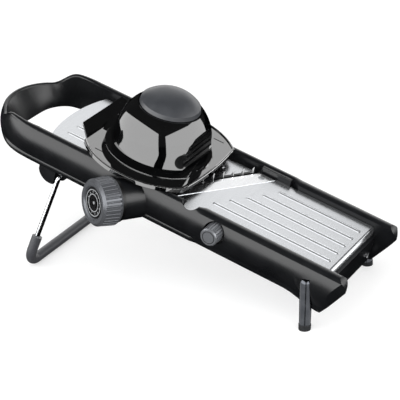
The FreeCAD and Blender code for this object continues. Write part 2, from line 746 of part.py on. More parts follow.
def lift_cams():
    """Two spiral cams on the thickness shaft."""
    cams = []
    for y in (-CAM_Y, CAM_Y):
        disc = Part.Face(cam_outline()).extrude(V(0, CAM_WIDTH, 0))
        disc = disc.cut(Part.makeCylinder(SHAFT_RADIUS, CAM_WIDTH, ORIGIN, Y_AXIS))
        t = blade_line_t(SHAFT_LOCAL_X, y) - CAM_WIDTH / 2
        disc.translate(V(SHAFT_LOCAL_X, t, SHAFT_Z))
        cams.append(along_blade(disc))
    return Part.makeCompound(cams)


def comb_rows():
    first = -(COMB_COUNT - 1) / 2.0
    return [(first + row) * COMB_PITCH for row in range(COMB_COUNT)]


def julienne_teeth():
    """Row of small upright knives, each along the runway."""
    teeth = []
    middle = sum(COMB_LOCAL_X) / 2.0
    for y in comb_rows():
        x = blade_line_x(middle, y)
        foot = COMB_TOOTH_FOOT_Z
        profile = [
            (x - 1.2, y, foot),
            (x + 1.5, y, foot),
            (x + 1.5, y, COMB_TIP_Z),
            (x + 0.9, y, COMB_TIP_Z),
            (x - 1.2, y, 0.4),
        ]
        tooth = prism(polygon(profile), (0, COMB_TOOTH_THICKNESS, 0))
        tooth.translate(V(0, -COMB_TOOTH_THICKNESS / 2, 0))
        teeth.append(tooth)
    return Part.makeCompound(teeth)


def comb_carrier(teeth):
    """Bar that holds the teeth, with an arm and a yoke that the selector lifts."""
    near, far = COMB_LOCAL_X
    strip = along_blade(box((near, -200, COMB_STRIP_Z[0]), (far, 200, COMB_STRIP_Z[1])))
    strip = strip.common(box((-60, -49.0, -5), (160, 49.0, 5)))
    beam = along_blade(box((near, -200, -13.0), (far, 200, COMB_STRIP_Z[0])))
    beam = beam.common(box((-60, COMB_ARM_Y[0], -20), (160, 37.0, 5)))
    arm_start = blade_line_x(near, COMB_ARM_Y[0])
    arm_low, arm_high = COMB_ARM_Y
    arm = box((arm_start + 1.0, arm_low, -14.4), (SELECTOR_X + 6.0, arm_high, -9.6))
    pin_x, pin_z = crank_pin_place()
    yoke = box((SELECTOR_X - 3.0, arm_low, -9.6), (SELECTOR_X + 6.0, arm_high, pin_z + 2.8))
    slot = box((SELECTOR_X - 1.4, arm_low - 1, pin_z - 1.7), (SELECTOR_X + 4.7, arm_high + 1, pin_z + 1.7))
    return fused([strip, beam, arm, yoke]).cut([slot, teeth])


def crank_pin_place():
    angle = math.radians(CRANK_REST_ANGLE)
    return SELECTOR_X + CRANK_RADIUS * math.cos(angle), SELECTOR_Z + CRANK_RADIUS * math.sin(angle)


def selector_knob():
    """Small fluted knob with a chamfered face and a ring groove in it."""
    length = SELECTOR_BACK_Y - SELECTOR_FACE_Y
    front_radius = SELECTOR_RADIUS - SELECTOR_TAPER
    nose = Part.makeCone(front_radius - SELECTOR_CHAMFER, front_radius, SELECTOR_CHAMFER)
    outlines = [(front_radius, SELECTOR_CHAMFER), (SELECTOR_RADIUS, length)]
    rings = [fluted_outline(r, SELECTOR_FLUTE_DEPTH, SELECTOR_FLUTES, z) for r, z in outlines]
    band = Part.makeLoft(rings, True, True)
    groove = Part.makeCylinder(6.4, 1.0).cut(Part.makeCylinder(5.6, 1.0))
    bore = Part.makeCylinder(2.5, length, V(0, 0, 6.0))
    knob = fused([nose, band]).cut([groove, bore])
    knob.rotate(ORIGIN, X_AXIS, -90)
    knob.translate(V(SELECTOR_X, SELECTOR_FACE_Y, SELECTOR_Z))
    return knob


def selector_shaft():
    """Selector shaft with its crank disc and pin."""
    disc_y = COMB_ARM_Y[0] - 2.6
    start_y = SELECTOR_FACE_Y + 6.0
    shaft = Part.makeCylinder(2.5, disc_y - start_y, V(SELECTOR_X, start_y, SELECTOR_Z), Y_AXIS)
    disc = Part.makeCylinder(4.6, 2.2, V(SELECTOR_X, disc_y, SELECTOR_Z), Y_AXIS)
    pin_x, pin_z = crank_pin_place()
    pin = Part.makeCylinder(CRANK_PIN_RADIUS, COMB_ARM_Y[1] - disc_y + 0.5, V(pin_x, disc_y, pin_z), Y_AXIS)
    return fused([shaft, disc, pin])


def stand_hinge():
    """Far hinge block under the rail: a stop behind the wire and a lug for its pivot."""
    stop_edges = [
        line((-95.0, 56.0, -26.0), (-76.0, 56.0, -26.0)),
        line((-76.0, 56.0, -26.0), (-76.0, 56.0, -46.0)),
        arc((-76.0, 56.0, -46.0), (-90.0, 56.0, -43.5), (-95.0, 56.0, -36.0)),
        line((-95.0, 56.0, -36.0), (-95.0, 56.0, -26.0)),
    ]
    stop = prism(Part.Wire(stop_edges), (0, 8.4, 0))
    lug_edges = [
        line((-77.0, 52.5, -24.0), (-66.6, 52.5, -24.0)),
        line((-66.6, 52.5, -24.0), (-66.6, 52.5, -37.0)),
        arc((-66.6, 52.5, -37.0), (-72.0, 52.5, -42.0), (-77.0, 52.5, -37.0)),
        line((-77.0, 52.5, -37.0), (-77.0, 52.5, -24.0)),
    ]
    lug = prism(Part.Wire(lug_edges), (0, 5.6, 0))
    return stop, lug


def stand_hinge_block(rail_shape):
    stop, lug = stand_hinge()
    hole = Part.makeCylinder(STAND_WIRE_RADIUS + 0.06, 20.0, V(STAND_PIVOT[0], 45.0, STAND_PIVOT[1]), Y_AXIS)
    return fused([stop, lug]).cut([rail_shape, hole])


def stand_path():
    """Corner points of the stand's wire: pivot stub, splayed leg, crossbar, and back up."""
    px, pz = STAND_PIVOT
    fx, fz = STAND_FOOT
    stub_y = 50.5
    side = [(px, stub_y, pz), (px, STAND_TOP_Y, pz), (fx, STAND_FOOT_Y, fz)]
    return side + [(x, -y, z) for x, y, z in reversed(side)]


def rounded_path(points, radii):
    """Straight runs joined by tangent arcs, one radius for each inner corner."""
    edges = []
    start = V(*points[0])
    for index, radius in enumerate(radii, start=1):
        corner = V(*points[index])
        back = (V(*points[index - 1]) - corner).normalize()
        ahead = (V(*points[index + 1]) - corner).normalize()
        half_turn = back.getAngle(ahead) / 2.0
        reach = radius / math.tan(half_turn)
        enter = corner + back * reach
        leave = corner + ahead * reach
        bisector = (back + ahead).normalize()
        middle = corner + bisector * (radius / math.sin(half_turn) - radius)
        edges.append(Part.makeLine(start, enter))
        edges.append(Part.Arc(enter, middle, leave).toShape())
        start = leave
    edges.append(Part.makeLine(start, V(*points[-1])))
    return Part.Wire(edges)


def tube_along(path, radius):
    """Round bar swept along straight runs and tangent arcs."""
    first = path.OrderedEdges[0]
    start = first.valueAt(first.FirstParameter)
    ahead = first.tangentAt(first.FirstParameter)
    ring = Part.Wire([Part.makeCircle(radius, start, ahead)])
    return path.makePipeShell([ring], True, True)


def stand_wire():
    """Bent wire stand with its two pivot stubs."""
    pivot_bend = 4.0
    radii = [pivot_bend, STAND_BEND_RADIUS, STAND_BEND_RADIUS, pivot_bend]
    return tube_along(rounded_path(stand_path(), radii), STAND_WIRE_RADIUS)


def stand_sleeve(wire):
    """Rubber sleeve over the crossbar and the foot of each leg."""
    points = stand_path()
    foot = V(*points[2])
    up = (V(*points[1]) - foot).normalize()
    start = foot + up * STAND_SLEEVE_LENGTH
    end = V(start.x, -start.y, start.z)
    route = [(start.x, start.y, start.z), points[2], points[3], (end.x, end.y, end.z)]
    tube = tube_along(rounded_path(route, [STAND_BEND_RADIUS, STAND_BEND_RADIUS]), STAND_SLEEVE_RADIUS)
    return tube.cut(wire)


def front_leg():
    """Far front leg above its rubber tip."""
    return leg_solid().cut(leg_tip_space())


def leg_tip_space():
    axis = leg_axis()
    start = V(*LEG_FOOT) - axis * (LEG_TIP_LENGTH / axis.Length)
    return Part.makeCylinder(20.0, 30.0, start, axis)


def leg_tip():
    """Rubber tip, cut flat where it stands on the table."""
    axis = leg_axis()
    foot = V(*LEG_FOOT)
    start = foot - axis * (LEG_TIP_LENGTH / axis.Length)
    plug = Part.makeCone(LEG_FOOT_RADIUS + 0.5, LEG_FOOT_RADIUS, LEG_TIP_LENGTH + 8.0, start, axis)
    table = Part.makeBox(100, 100, 50, V(-50, -50, -50))
    table.translate(V(0, 0, -STAND_HEIGHT))
    table.rotate(ORIGIN, Y_AXIS, -STAND_TILT)
    slide = table_point_below(foot)
    table.translate(slide)
    return plug.cut(table)


def table_point_below(point):
    """Shift along the table that brings the table block under a point."""
    along = point.x * math.cos(TILT) + point.z * math.sin(TILT)
    return V(along * math.cos(TILT), point.y, along * math.sin(TILT))


def guard_outline():
    """Guard base from above: round sides, gently bowed front edge, straight rear fold."""
    radius = GUARD_RADIUS
    z = GUARD_BASE_Z[0]
    front_x, bow_x = GUARD_FRONT_X
    fold_x = GUARD_TAIL_X[0]
    front_y = math.sqrt(radius ** 2 - front_x ** 2)
    fold_y = math.sqrt(radius ** 2 - fold_x ** 2)
    edges = [
        arc((front_x, -front_y, z), (bow_x, 0, z), (front_x, front_y, z)),
        arc((front_x, front_y, z), (0, radius, z), (fold_x, fold_y, z)),
        line((fold_x, fold_y, z), (fold_x, -fold_y, z)),
        arc((fold_x, -fold_y, z), (0, -radius, z), (front_x, -front_y, z)),
    ]
    return Part.Wire(edges)


def guard_tail():
    """Upturned rear flap of the guard base."""
    low, high = GUARD_BASE_Z
    thick = high - low
    fold_x, end_x = GUARD_TAIL_X
    fold_y, end_y = GUARD_TAIL_HALF_Y
    top = GUARD_TAIL_Z
    fold = cross_section(fold_x, fold_y, low, high)
    end = cross_section(end_x, end_y, top - thick, top)
    return Part.makeLoft([fold, end], True, True)


def cross_section(x, half_y, low, high):
    """Upright rectangle across the guard at one place along it."""
    return polygon([(x, -half_y, low), (x, half_y, low), (x, half_y, high), (x, -half_y, high)])


def dome_profile(offset):
    """The dome as a solid, moved inwards by offset: a ball whose lower wall flares out to its foot."""
    ball = DOME_RADIUS - offset
    skirt = DOME_SKIRT_RADIUS - offset
    low = GUARD_BASE_Z[0] - (1.0 if offset else 0.0)
    foot_top = GUARD_BASE_Z[1]
    top_z = NECK_TOP_Z - offset
    top_r = math.sqrt(ball ** 2 - (top_z - DOME_CENTRE_Z) ** 2)
    waist = math.radians(DOME_WAIST_ANGLE)
    waist_r = ball * math.cos(waist)
    waist_z = DOME_CENTRE_Z + ball * math.sin(waist)
    mid_z = (waist_z + top_z) / 2.0
    mid_r = math.sqrt(ball ** 2 - (mid_z - DOME_CENTRE_Z) ** 2)
    # The flare leaves the ball without a kink, so its middle lies on a chord halfway in angle
    lean = (waist + math.atan2(skirt - waist_r, waist_z - foot_top)) / 2.0
    reach = math.hypot(skirt - waist_r, waist_z - foot_top) / (2.0 * math.cos(lean - waist))
    flare_r = waist_r + reach * math.sin(lean)
    flare_z = waist_z - reach * math.cos(lean)
    edges = [
        line((0, 0, low), (skirt, 0, low)),
        line((skirt, 0, low), (skirt, 0, foot_top)),
        arc((skirt, 0, foot_top), (flare_r, 0, flare_z), (waist_r, 0, waist_z)),
        arc((waist_r, 0, waist_z), (mid_r, 0, mid_z), (top_r, 0, top_z)),
        line((top_r, 0, top_z), (0, 0, top_z)),
        line((0, 0, top_z), (0, 0, low)),
    ]
    return Part.Face(Part.Wire(edges)).revolve(ORIGIN, Z_AXIS, 360)


def grip_tool():
    """Shallow scoop with stepped ridges that cuts an arched finger grip into the dome's front."""
    centre_x, centre_z = GRIP_CENTRE
    half_angle = math.degrees(math.asin(GRIP_HALF_HEIGHT / GRIP_RADIUS))
    ridge_depth = 0.5
    steps = GRIP_RIDGES * 2
    points = []
    for step in range(steps + 1):
        angle = math.radians(180.0 - half_angle + 2 * half_angle * step / steps)
        radius = GRIP_RADIUS - (ridge_depth if step % 2 else 0.0)
        points.append((centre_x + radius * math.cos(angle), -GRIP_HALF_Y, centre_z + radius * math.sin(angle)))
    points.append((centre_x, -GRIP_HALF_Y, points[-1][2]))
    points.append((centre_x, -GRIP_HALF_Y, points[0][2]))
    return prism(polygon(points), (0, 2 * GRIP_HALF_Y, 0))


def polar(radius, degrees, z):
    return radius * math.cos(math.radians(degrees)), radius * math.sin(math.radians(degrees)), z


def shoulder_outline(level, front, z):
    """Shoulder from above: a circle set off to the near side, its front edge sweeping back to the dome."""
    centre_x, centre_y = SHOULDER_CENTRE[level]

    def on_circle(degrees):
        x, y, height = polar(SHOULDER_RADIUS[level], degrees, z)
        return centre_x + x, centre_y + y, height

    rear = on_circle(165.0)
    corner = on_circle(SHOULDER_CORNER_ANGLE[level])
    sweep, end = [(x, y, z) for x, y in front]
    edges = [
        arc(rear, on_circle(-105.0), corner),
        arc(corner, sweep, end),
        line(end, rear),
    ]
    return Part.Wire(edges)


def guard_shoulder():
    """Moulded shoulder on the near side of the dome, falling away across its front."""
    foot = shoulder_outline(0, [(54.3, -22.7), (44.8, 19.7)], GUARD_BASE_Z[1])
    brow = shoulder_outline(1, [(46.8, -14.0), (43.0, 12.0)], SHOULDER_STEP_Z)
    skirt = Part.makeLoft([foot, brow], True, True)
    step = prism(brow, (0, 0, SHOULDER_TOP_Z - SHOULDER_STEP_Z))
    edges = [edge for edge in step.Edges if edge.BoundBox.ZMin > SHOULDER_TOP_Z - 0.1]
    outer = [edge for edge in edges if edge.CenterOfMass.y < -30.0 or edge.CenterOfMass.x > 40.0]
    block = fused([skirt, step.makeFillet(SHOULDER_EDGE_RADIUS, outer)])
    front_x = 30.0
    slope_start = (front_x, -12.0, SHOULDER_TOP_Z + 0.2)
    slope_end = (front_x, 21.0, GUARD_BASE_Z[1])
    slope_edges = [
        arc(slope_start, (front_x, 4.0, 13.4), slope_end),
        line(slope_end, (front_x, 21.0, 40.0)),
        line((front_x, 21.0, 40.0), (front_x, -12.0, 40.0)),
        line((front_x, -12.0, 40.0), slope_start),
    ]
    return block.cut(prism(Part.Wire(slope_edges), (50.0, 0, 0)))


def rear_rest():
    """Low arched rest between the dome and the tail flap."""
    ridge = Part.makeCylinder(REAR_REST_RADIUS, 22.0, V(-57.0, 0, REAR_REST_TOP_Z - REAR_REST_RADIUS), X_AXIS)
    return ridge.common(box((-60, -40, GUARD_BASE_Z[1]), (-30, 40, 40)))


def dome_hollow():
    """Inside of the dome: round, but flat behind the finger grip."""
    flat = 37.0
    inside = dome_profile(DOME_WALL)
    return inside.common(box((-100, -100, 0), (flat, 100, 100)))


def guard_dome():
    """Food holder: dome with a ridged grip in front, a near shoulder and a neck for the plunger."""
    outer = dome_profile(0.0)
    body = fused([outer.cut(grip_tool()), guard_shoulder(), rear_rest()])
    neck = Part.makeCylinder(NECK_RADIUS + DOME_WALL, NECK_DEPTH, V(0, 0, NECK_TOP_Z - NECK_DEPTH))
    bore = Part.makeCylinder(NECK_RADIUS, 40.0, V(0, 0, NECK_TOP_Z - NECK_DEPTH - 10.0))
    return fused([body.cut(dome_hollow()), neck.common(outer)]).cut(bore)


def rim_section(outer):
    """Section of the rim's bead, with its outer wall at a given radius: low walls under a round top."""
    width, wall, height = RIM_BEAD
    low = GUARD_BASE_Z[1]
    inner = outer - width
    edges = [
        line((inner, 0, low), (outer, 0, low)),
        line((outer, 0, low), (outer, 0, low + wall)),
        arc((outer, 0, low + wall), (outer - width / 2.0, 0, low + height), (inner, 0, low + wall)),
        line((inner, 0, low + wall), (inner, 0, low)),
    ]
    return Part.Face(Part.Wire(edges))


def rim_beads(plate):
    """Raised beads along the edge of the guard's base: both round sides and the bowed front."""
    above = plate.translated(V(0, 0, GUARD_BASE_Z[1] - GUARD_BASE_Z[0]))
    sides = rim_section(GUARD_RADIUS).revolve(ORIGIN, Z_AXIS, 360)
    corner_x, bow_x = GUARD_FRONT_X
    bow = bow_x - corner_x
    bow_radius = (GUARD_RADIUS ** 2 - corner_x ** 2 + bow ** 2) / (2.0 * bow)
    half_turn = 9.0
    section = rim_section(bow_radius).rotated(ORIGIN, Z_AXIS, -half_turn)
    front = section.revolve(ORIGIN, Z_AXIS, 2 * half_turn)
    front.translate(V(bow_x - bow_radius, 0, 0))
    return [sides.common(above), front.common(above)]


def clip_slots():
    """Four narrow slots in the base plate's top, over the ends of the side guides."""
    length, width, depth = CLIP_SLOT
    top = GUARD_BASE_Z[1]
    slots = []
    for x_sign in (-1, 1):
        for y_sign in (-1, 1):
            x, y = x_sign * CLIP_SLOT_PLACE[0], y_sign * CLIP_SLOT_PLACE[1]
            low = (x - length / 2, y - width / 2, top - depth)
            slots.append(box(low, (x + length / 2, y + width / 2, top + depth)))
    return slots


def guard_base():
    """Base plate with its tail flap, raised rim and food opening, and the side guides under it."""
    low, high = GUARD_BASE_Z
    plate = prism(guard_outline(), (0, 0, high - low))
    opening = Part.makeCylinder(DOME_SKIRT_RADIUS, 10.0, V(0, 0, low - 2.0))
    base = fused([plate, guard_tail()] + rim_beads(plate)).cut([opening] + clip_slots())
    guides = []
    for sign in (-1, 1):
        near, far = sorted((sign * GUIDE_Y[0], sign * GUIDE_Y[1]))
        guides.append(box((GUIDE_X[0], near, GUIDE_BOTTOM_Z), (GUIDE_X[1], far, low)))
    return base, guides


def plunger_cap():
    """Low domed knob on top of the plunger, with a tapered lip round its edge."""
    edge_r = CAP_RADIUS - CAP_LIP_TAPER
    crown_z = CAP_LIP_Z + CAP_LIP
    rise = CAP_TOP_Z - crown_z
    ball = (edge_r ** 2 + rise ** 2) / (2.0 * rise)
    mid_r = edge_r * 0.6
    mid_z = CAP_TOP_Z - ball + math.sqrt(ball ** 2 - mid_r ** 2)
    edges = [
        line((0, 0, CAP_LIP_Z), (CAP_RADIUS, 0, CAP_LIP_Z)),
        line((CAP_RADIUS, 0, CAP_LIP_Z), (edge_r, 0, crown_z)),
        arc((edge_r, 0, crown_z), (mid_r, 0, mid_z), (0, 0, CAP_TOP_Z)),
        line((0, 0, CAP_TOP_Z), (0, 0, CAP_LIP_Z)),
    ]
    return Part.Face(Part.Wire(edges)).revolve(ORIGIN, Z_AXIS, 360)


def plunger_sleeve():
    """Tube that joins the cap to the presser and runs in the dome's neck."""
    outer = Part.makeCylinder(SLEEVE_RADIUS, CAP_LIP_Z - PRESSER_Z[1], V(0, 0, PRESSER_Z[1]))
    inner = Part.makeCylinder(SLEEVE_RADIUS - SLEEVE_WALL, CAP_LIP_Z - PRESSER_Z[1], V(0, 0, PRESSER_Z[1]))
    return outer.cut(inner)


def prong_places():
    places = []
    for radius, count in ((10.0, 6), (20.0, 10), (30.0, 14)):
        for index in range(count):
            angle = 2 * math.pi * index / count
            places.append((radius * math.cos(angle), radius * math.sin(angle)))
    return places


def presser_plate():
    """Disc that pushes the food, dished at its rim."""
    low, high = PRESSER_Z
    disc = Part.makeCylinder(PRESSER_RADIUS, high - low, V(0, 0, low))
    rim = [edge for edge in disc.Edges if edge.CenterOfMass.z < low + 0.1]
    disc = disc.makeFillet(1.2, rim)
    return disc.cut([Part.makeCylinder(PRONG_RADIUS, 2.0, V(x, y, low)) for x, y in prong_places()])


def presser_prongs():
    """Short pointed pins under the presser."""
    low = PRESSER_Z[0]
    point = 2.0
    pins = []
    for x, y in prong_places():
        shank = Part.makeCylinder(PRONG_RADIUS, low + 2.0 - PRONG_TIP_Z - point, V(x, y, PRONG_TIP_Z + point))
        tip = Part.makeCone(0.25, PRONG_RADIUS, point, V(x, y, PRONG_TIP_Z))
        pins.append(fused([tip, shank]))
    return Part.makeCompound(pins)


def all_nodes():
    near = near_rail()
    far = far_rail()
    hinge = stand_hinge_block(far)
    wire = stand_wire()
    teeth = julienne_teeth()
    base, guides = guard_base()
    return {
        "near_rail": near,
        "far_rail": far,
        "handle_loop": handle_loop(),
        "plate_strips": plate_strips(),
        "front_crossbar": front_crossbar(),
        "crossbar_screws": crossbar_screws(),
        "rear_crossbar": rear_crossbar(),
        "front_plate": front_plate(),
        "blade_bed": blade_bed(),
        "slicing_blade": slicing_blade(),
        "blade_screws": blade_screws(),
        "plate_clamp": plate_clamp(),
        "knob_boss": knob_boss(near),
        "knob_gasket": knob_gasket(),
        "shaft_bushes": shaft_bushes(),
        "stand_hinge_far": hinge,
        "stand_hinge_near": mirrored(hinge),
        "front_leg_far": front_leg(),
        "front_leg_near": mirrored(front_leg()),
        "leg_tip_far": leg_tip(),
        "leg_tip_near": mirrored(leg_tip()),
        "runway_plate": runway_plate(),
        "runway_posts": runway_posts(),
        "lift_pads": lift_pads(),
        "thickness_knob": thickness_knob(),
        "knob_disc": knob_disc(),
        "thickness_shaft": thickness_shaft(),
        "lift_cams": lift_cams(),
        "julienne_teeth": teeth,
        "comb_carrier": comb_carrier(teeth),
        "selector_knob": selector_knob(),
        "selector_shaft": selector_shaft(),
        "stand_wire": wire,
        "stand_sleeve": stand_sleeve(wire),
        "guard_base": base,
        "guard_guides": Part.makeCompound(guides),
        "guard_dome": guard_dome(),
        "plunger_cap": plunger_cap(),
        "plunger_sleeve": plunger_sleeve(),
        "presser_plate": presser_plate(),
        "presser_prongs": presser_prongs(),
    }


os.makedirs("parts", exist_ok=True)
whole = FreeCAD.BoundBox()
for name, shape in all_nodes().items():
    placed = stood(shape)
    whole.add(placed.BoundBox)
    placed.exportStep("parts/" + name + ".step")
    print(name, "solids", len(placed.Solids), "valid", placed.isValid(), "mm3", round(placed.Volume))
print("box", whole)
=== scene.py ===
import json
import math
from collections import namedtuple

import bpy
from bpy.props import FloatProperty, IntProperty, PointerProperty, StringProperty
from mathutils import Matrix, Vector


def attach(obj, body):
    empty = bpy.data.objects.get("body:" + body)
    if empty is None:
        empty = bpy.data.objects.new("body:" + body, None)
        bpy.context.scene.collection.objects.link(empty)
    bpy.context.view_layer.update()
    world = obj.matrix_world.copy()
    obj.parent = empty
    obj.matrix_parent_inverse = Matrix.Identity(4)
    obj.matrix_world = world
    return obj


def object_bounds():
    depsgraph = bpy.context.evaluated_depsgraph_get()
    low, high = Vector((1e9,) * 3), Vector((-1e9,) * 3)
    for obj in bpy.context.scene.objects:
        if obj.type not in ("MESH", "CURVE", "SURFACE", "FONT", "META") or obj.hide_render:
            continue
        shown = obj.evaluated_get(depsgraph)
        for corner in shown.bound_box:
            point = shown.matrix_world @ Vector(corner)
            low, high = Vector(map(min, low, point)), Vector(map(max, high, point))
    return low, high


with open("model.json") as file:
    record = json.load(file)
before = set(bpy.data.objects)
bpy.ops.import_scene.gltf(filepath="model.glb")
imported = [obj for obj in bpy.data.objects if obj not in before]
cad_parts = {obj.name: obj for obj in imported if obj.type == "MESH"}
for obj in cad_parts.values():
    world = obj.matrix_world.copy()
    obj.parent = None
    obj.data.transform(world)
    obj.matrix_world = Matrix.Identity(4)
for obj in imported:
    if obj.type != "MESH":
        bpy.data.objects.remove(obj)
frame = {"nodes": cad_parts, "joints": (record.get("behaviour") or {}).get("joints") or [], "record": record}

bl_info = {
    "name": "Mandoline slicer",
    "version": (1, 0, 0),
    "blender": (4, 5, 0),
    "location": "View3D > Sidebar > Slicer",
    "description": "Finishes, small fittings and a studio stage for a mandoline slicer",
    "category": "Object",
}

CAD_LOW, CAD_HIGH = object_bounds()
MM = 0.001

# The slicer leans on its stand. The origin is the point of the runway under the guard's axis.
LEAN = math.radians(15.9)
RUNWAY_ORIGIN = Vector((-29.47, 12.41, 113.55)) * MM
OFF_RUNWAY = Vector((math.sin(LEAN), 0.0, math.cos(LEAN)))

# The guard's dome, and the lower end of its finger grip
DOME_CENTRE = RUNWAY_ORIGIN + 20.7 * MM * OFF_RUNWAY
DOME_RADIUS = 49.0 * MM
GRIP_END = RUNWAY_ORIGIN + Vector((43.7, -30.1, 11.7)) * MM
GRIP_END_RADIUS = 7.0 * MM

# Height of the raised rings on the thickness knob's disc
DISC_RING_HEIGHT = 0.8 * MM


# Materials

# Noise drawn at a real size, stretched along the piece's own axes where a finish has a direction
Grain = namedtuple("Grain", "size_mm detail stretch", defaults=(3.0, (1.0, 1.0, 1.0)))

# Bump that a grain raises
Relief = namedtuple("Relief", "grain depth_mm strength")

# Middle stretch of the noise, over which shades and roughness run from end to end
SHADE_SPAN = (0.32, 0.68)
ROUGHNESS_SPAN = (0.3, 0.7)

# The guard's polish fades in just under the dome's surface and round the grip's end
DOME_POLISH = (DOME_RADIUS - 0.8 * MM, DOME_RADIUS - 0.4 * MM)
GRIP_POLISH = (GRIP_END_RADIUS, GRIP_END_RADIUS + 0.6 * MM)

WHITE = (1.0, 1.0, 1.0, 1.0)


def linear(code):
    """Linear RGBA of an sRGB hex value."""
    channels = [int(code[index:index + 2], 16) / 255.0 for index in (0, 2, 4)]
    return [c / 12.92 if c <= 0.04045 else ((c + 0.055) / 1.055) ** 2.4 for c in channels] + [1.0]


def add_node(tree, kind, inputs=None, **settings):
    """Adds a node, sets its own settings, then sets or links its inputs."""
    made = tree.nodes.new(kind)
    for key, value in settings.items():
        setattr(made, key, value)
    for key, value in (inputs or {}).items():
        if isinstance(value, bpy.types.NodeSocket):
            tree.links.new(value, made.inputs[key])
        else:
            made.inputs[key].default_value = value
    return made


def grained_material(name, shades, grain, sockets, roughness=None, relief=None):
    """A material whose grain runs its colour between two close shades and its roughness between two values.
    The sockets are what is the same all over, and the relief is its bump. Its shader is named surface."""
    material = bpy.data.materials.new(name)
    material.use_nodes = True
    tree = material.node_tree
    tree.nodes.clear()
    place = add_node(tree, "ShaderNodeTexCoord")
    noise = {}
    for wanted in [grain] + ([relief.grain] if relief else []):
        if wanted in noise:
            continue
        stretched = add_node(
            tree, "ShaderNodeMapping", {"Vector": place.outputs["Object"], "Scale": wanted.stretch})
        drawn = add_node(
            tree, "ShaderNodeTexNoise",
            {"Vector": stretched.outputs["Vector"], "Scale": 1.0 / (wanted.size_mm * MM),
             "Detail": wanted.detail})
        noise[wanted] = drawn.outputs["Fac"]
    ramp = add_node(tree, "ShaderNodeValToRGB", {"Fac": noise[grain]})
    for element, position, code in zip(ramp.color_ramp.elements, SHADE_SPAN, shades.split()):
        element.position = position
        element.color = linear(code)
    surface = add_node(
        tree, "ShaderNodeBsdfPrincipled", {"Base Color": ramp.outputs["Color"], **sockets}, name="surface")
    if roughness:
        spread = add_node(
            tree, "ShaderNodeMapRange",
            {"Value": noise[grain], "From Min": ROUGHNESS_SPAN[0], "From Max": ROUGHNESS_SPAN[1],
             "To Min": roughness[0], "To Max": roughness[1]})
        tree.links.new(spread.outputs["Result"], surface.inputs["Roughness"])
    if relief:
        bump = add_node(
            tree, "ShaderNodeBump",
            {"Height": noise[relief.grain], "Distance": relief.depth_mm * MM, "Strength": relief.strength})
        tree.links.new(bump.outputs["Normal"], surface.inputs["Normal"])
    add_node(tree, "ShaderNodeOutputMaterial", {"Surface": surface.outputs["BSDF"]})
    return material


def satin_abs(name, shades):
    """Moulded ABS with a fine eroded grain: dark, with a soft sheen and no clear reflections.
    The real grain is about 0.1 mm; it is drawn at 0.9 mm so that it shows."""
    eroded = Relief(Grain(size_mm=0.9), depth_mm=0.05, strength=0.25)
    return grained_material(
        name, shades, Grain(size_mm=22.0), {"IOR": 1.54}, roughness=(0.27, 0.33), relief=eroded)


def polished_places(tree):
    """One on the dome's outside and on all that stands out from it, nought in the finger grip and its end."""
    place = add_node(tree, "ShaderNodeTexCoord")
    shares = []
    for centre, (low, high) in ((DOME_CENTRE, DOME_POLISH), (GRIP_END, GRIP_POLISH)):
        reach = add_node(
            tree, "ShaderNodeVectorMath", {0: place.outputs["Object"], 1: centre}, operation="DISTANCE")
        share = add_node(
            tree, "ShaderNodeMapRange", {"Value": reach.outputs["Value"], "From Min": low, "From Max": high})
        shares.append(share.outputs["Result"])
    both = add_node(tree, "ShaderNodeMath", {0: shares[0], 1: shares[1]}, operation="MINIMUM")
    return both.outputs["Value"]


def piano_abs(name, shades):
    """Polished ABS under a hard clear lacquer: near black, with mirror-like reflections and a faint waviness
    of about 14 mm. The finger grip stays satin, as the mould leaves it."""
    satin, polished = 0.22, 0.07
    wave = Grain(size_mm=14.0, detail=1.0)
    material = grained_material(
        name, shades, wave,
        {"IOR": 1.54, "Specular IOR Level": 0.15, "Coat IOR": 3.0, "Coat Roughness": 0.02},
        relief=Relief(wave, depth_mm=0.02, strength=0.08))
    tree = material.node_tree
    surface = tree.nodes["surface"]
    polish = polished_places(tree)
    rough = add_node(tree, "ShaderNodeMapRange", {"Value": polish, "To Min": satin, "To Max": polished})
    tree.links.new(polish, surface.inputs["Coat Weight"])
    tree.links.new(rough.outputs["Result"], surface.inputs["Roughness"])
    return material


def soft_touch(name, shades):
    """Satin lacquer on plastic: even dark grey with a wide silky highlight.
    The lacquer's own grain is too fine to see; it is drawn at 0.7 mm."""
    fine = Relief(Grain(size_mm=0.7), depth_mm=0.03, strength=0.2)
    return grained_material(
        name, shades, Grain(size_mm=16.0), {"IOR": 1.5, "Specular IOR Level": 0.8}, roughness=(0.40, 0.48),
        relief=fine)


def silver_lacquer(name, shades):
    """Silver-grey lacquer on fluted plastic: metal flakes give the flutes bright crests and dark valleys.
    The flakes are too fine to see; they are drawn at 0.6 mm."""
    flakes = Grain(size_mm=0.6)
    return grained_material(
        name, shades, flakes, {"Metallic": 0.6}, roughness=(0.30, 0.40),
        relief=Relief(flakes, depth_mm=0.02, strength=0.2))


def printed_ink(name, shades):
    """Pad-printed ink: flat and slightly uneven, with cloudy patches of about 1.5 mm."""
    return grained_material(name, shades, Grain(size_mm=1.5), {"IOR": 1.5}, roughness=(0.45, 0.6))


def acetal(name, shades):
    """Turned acetal: waxy and pale, with faint turning marks. They are drawn at 0.5 mm so that they show."""
    marks = Grain(size_mm=0.5, stretch=(1.0, 0.2, 1.0))
    return grained_material(
        name, shades, marks, {"IOR": 1.48}, roughness=(0.34, 0.44),
        relief=Relief(marks, depth_mm=0.03, strength=0.2))


def moulded_rubber(name, shades, bloom):
    """Moulded rubber: dry, with a soft wide highlight and, where it has aged, a dusty bloom.
    Its fine grain is drawn at 0.9 mm so that it shows."""
    fine = Grain(size_mm=0.9)
    return grained_material(
        name, shades, fine, {"IOR": 1.52, "Sheen Weight": bloom}, roughness=(0.38, 0.46),
        relief=Relief(fine, depth_mm=0.06, strength=0.3))


